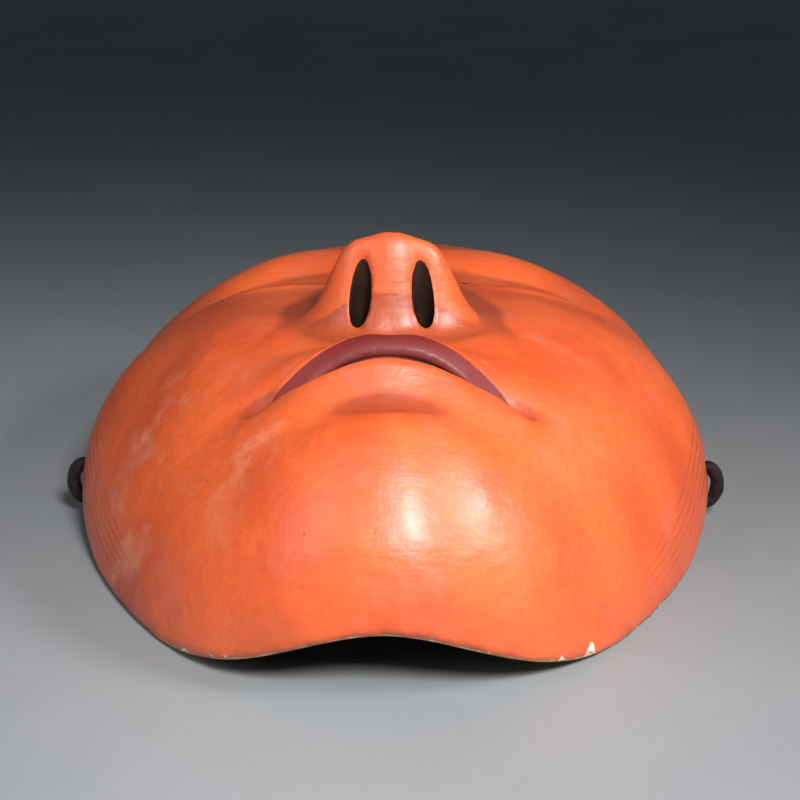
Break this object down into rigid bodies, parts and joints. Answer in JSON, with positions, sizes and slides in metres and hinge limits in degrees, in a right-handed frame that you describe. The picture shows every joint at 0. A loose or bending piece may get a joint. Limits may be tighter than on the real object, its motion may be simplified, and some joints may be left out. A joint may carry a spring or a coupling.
{
  "type": "noh mask",
  "caption": "Carved wooden theatre mask of a calm face, with a painted orange coat, pierced eyes, nostrils and mouth, an arched chin rim and a cord tied at the ear holes.",
  "frame": {"origin": "middle of the mask's footprint on the table, on the plane that the rim stands on", "axes": "+Z the way the face looks, -Y towards the chin, +Y towards the forehead, +X across to the right as seen from the chin"},
  "size_m": [0.1498, 0.21, 0.0727],
  "materials": {
    "wood": "carved cypress, its hollow side stained dark and lacquered thin",
    "paint": "satin orange-red paint on a white chalk ground, brushed, with maroon lips and black ink lines",
    "cord": "braided dark silk cord"
  },
  "bodies": {
    "root": {"wood_shell": "wood", "face_coat": "paint", "ear_tie_left": "cord", "ear_tie_right": "cord", "hanging_cord": "cord"}
  },
  "joints": []
}
